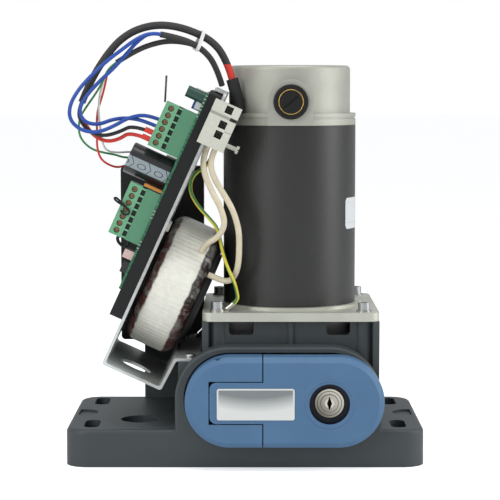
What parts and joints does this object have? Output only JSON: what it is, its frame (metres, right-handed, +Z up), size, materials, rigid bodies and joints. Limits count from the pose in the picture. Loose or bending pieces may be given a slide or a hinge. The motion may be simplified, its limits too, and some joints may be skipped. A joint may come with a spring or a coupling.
{
  "type": "sliding gate motor",
  "caption": "Sliding gate motor with its cover off: cast base with fixing slots, upright motor, leaning circuit board bracket, swing-out release lever and rear rack pinion.",
  "frame": {"origin": "centre of the foot's underside", "axes": "+X to the right seen from the release lever's side, +Y away from it towards the gate, +Z up along the motor"},
  "size_m": [0.246, 0.1979, 0.3036],
  "materials": {
    "beige_wire": "beige sleeving",
    "black_plastic": "moulded, slightly glossy",
    "black_wire": "black insulation",
    "blue_plastic": "satin blue plastic",
    "blue_wire": "blue insulation",
    "board": "green solder resist",
    "bronze": "bronze",
    "can_paint": "satin black paint",
    "carbon": "carbon or ferrite",
    "cast_housing": "dark grey textured powder coat on the cast base",
    "chrome": "polished",
    "earth_wire": "yellow and green insulation",
    "flange_metal": "fine-cast aluminium",
    "green_plastic": "green terminal plastic",
    "plate": "brushed, bare",
    "red_wire": "red insulation",
    "rubber": "soft black rubber",
    "steel": "machined or zinc-plated steel",
    "tape": "polyester tape over the winding",
    "white_plastic": "translucent white nylon",
    "zinc": "zinc plated sheet"
  },
  "bodies": {
    "base": {"base_housing": "cast_housing", "black_wire": "black_wire", "blue_sleeve": "black_wire", "blue_wire_lower": "blue_wire", "blue_wire_upper": "blue_wire", "board_components": "black_plastic", "board_tray": "black_plastic", "bracket_screws": "steel", "brush_caps": "black_plastic", "brushes": "carbon", "cable_grommet": "rubber", "control_board": "board", "cover_screws": "steel", "earth_lead": "earth_wire", "field_magnets": "carbon", "flange_screws": "steel", "hinge_pin": "steel", "lower_plug": "green_plastic", "main_capacitor": "black_plastic", "main_sleeve": "black_wire", "mains_terminal": "white_plastic", "motor_can": "can_paint", "motor_end_cap": "flange_metal", "motor_flange": "flange_metal", "mounting_bracket": "zinc", "nylon_screw": "white_plastic", "output_bearings": "steel", "output_cover": "flange_metal", "plunger_spring": "steel", "red_wire": "red_wire", "release_clevis": "blue_plastic", "ring_lug": "steel", "rotor_bearings": "steel", "sensor_housing": "black_plastic", "shaft_seal": "rubber", "signal_leads": "black_wire", "terminal_headers": "green_plastic", "terminal_screws": "steel", "toroid_bolt": "steel", "toroid_clamp": "black_plastic", "toroid_pads": "rubber", "toroid_transformer": "tape", "tray_clips": "white_plastic", "upper_plug": "green_plastic", "winding_lead_left": "beige_wire", "winding_lead_right": "beige_wire", "wire_ferrules": "red_wire"},
    "output": {"output_shaft": "steel", "worm_wheel": "bronze", "output_pinion": "steel", "pinion_bolt": "steel"},
    "rotor": {"rotor_shaft": "steel", "worm": "steel", "armature": "steel", "commutator": "bronze"},
    "lever": {"release_lever": "blue_plastic", "lever_nameplate": "plate", "lock_body": "chrome"},
    "lock": {"lock_plug": "chrome"},
    "plunger": {"release_plunger": "steel"}
  },
  "joints": [
    {"name": "output_spin", "type": "hinge", "parent": "base", "child": "output", "pos_m": [-0.006, 0.006, 0.0472], "axis": [0, 1, 0], "continuous": true},
    {"name": "rotor_spin", "type": "hinge", "parent": "base", "child": "rotor", "pos_m": [0.0315, 0.0065, 0.1], "axis": [0, 0, 1], "continuous": true},
    {"name": "lever_swing", "type": "hinge", "parent": "base", "child": "lever", "pos_m": [-0.018, -0.08, 0.0472], "axis": [0, 0, -1], "range_deg": [0, 90]},
    {"name": "lock_turn", "type": "hinge", "parent": "lever", "child": "lock", "pos_m": [0.057, -0.075, 0.0465], "axis": [0, 1, 0], "range_deg": [-90, 0]},
    {"name": "plunger_slide", "type": "slide", "parent": "base", "child": "plunger", "axis": [0, 1, 0], "range_m": [0, 0.004], "deforming": ["plunger_spring"]}
  ],
  "couplings": [
    {"joint": "rotor_spin", "follows": "output_spin", "ratio": 32},
    {"joint": "plunger_slide", "follows": "lever_swing", "m_per_rad": 0.0025}
  ]
}
